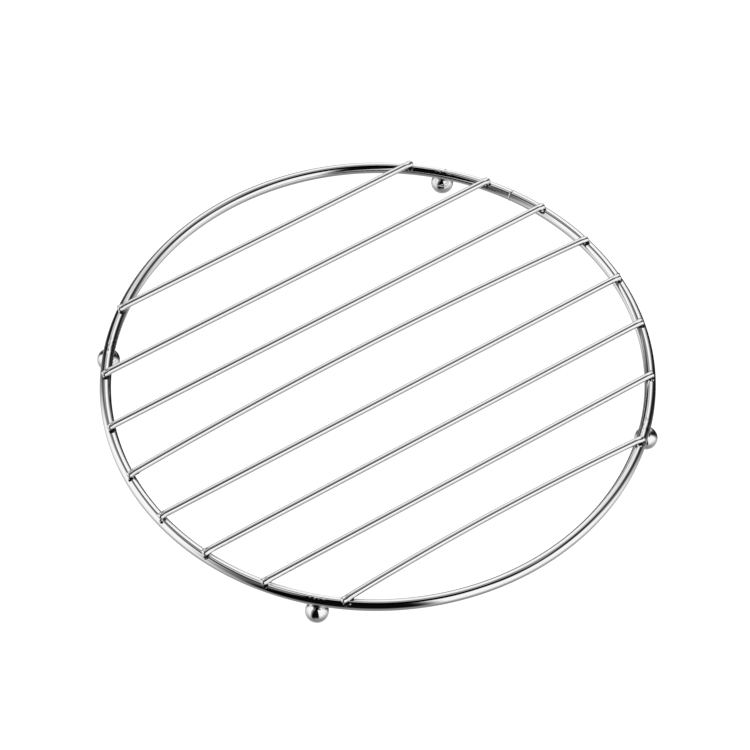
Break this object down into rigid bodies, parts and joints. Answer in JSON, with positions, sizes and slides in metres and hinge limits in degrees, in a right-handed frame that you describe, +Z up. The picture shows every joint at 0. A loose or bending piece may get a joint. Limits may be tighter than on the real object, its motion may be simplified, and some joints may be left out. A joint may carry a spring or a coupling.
{
  "type": "cooling rack",
  "caption": "Round wire cooling rack: a thick wire ring with straight wire bars welded across its top and small ball feet under its rim.",
  "frame": {"origin": "middle of the ring, in the plane that the feet stand on", "axes": "+Z up out of the surface it stands on; the bars run along X; +Y is across the bars, towards bar_1"},
  "size_m": [0.24, 0.24, 0.0169],
  "materials": {
    "ring_wire": "mirror polished",
    "bar_wire": "mirror polished, faint drawing lines along the wire",
    "ball_feet": "mirror polished ball",
    "weld_metal": "tumbled weld metal, softly shiny"
  },
  "bodies": {
    "root": {"ring": "ring_wire", "ring_seam_weld": "weld_metal", "bar_1": "bar_wire", "bar_weld_1_left": "weld_metal", "bar_weld_1_right": "weld_metal", "bar_2": "bar_wire", "bar_weld_2_left": "weld_metal", "bar_weld_2_right": "weld_metal", "bar_3": "bar_wire", "bar_weld_3_left": "weld_metal", "bar_weld_3_right": "weld_metal", "bar_4": "bar_wire", "bar_weld_4_left": "weld_metal", "bar_weld_4_right": "weld_metal", "bar_5": "bar_wire", "bar_weld_5_left": "weld_metal", "bar_weld_5_right": "weld_metal", "bar_6": "bar_wire", "bar_weld_6_left": "weld_metal", "bar_weld_6_right": "weld_metal", "bar_7": "bar_wire", "bar_weld_7_left": "weld_metal", "bar_weld_7_right": "weld_metal", "bar_8": "bar_wire", "bar_weld_8_left": "weld_metal", "bar_weld_8_right": "weld_metal", "foot_1": "ball_feet", "foot_weld_1": "weld_metal", "foot_2": "ball_feet", "foot_weld_2": "weld_metal", "foot_3": "ball_feet", "foot_weld_3": "weld_metal", "foot_4": "ball_feet", "foot_weld_4": "weld_metal"}
  },
  "joints": []
}
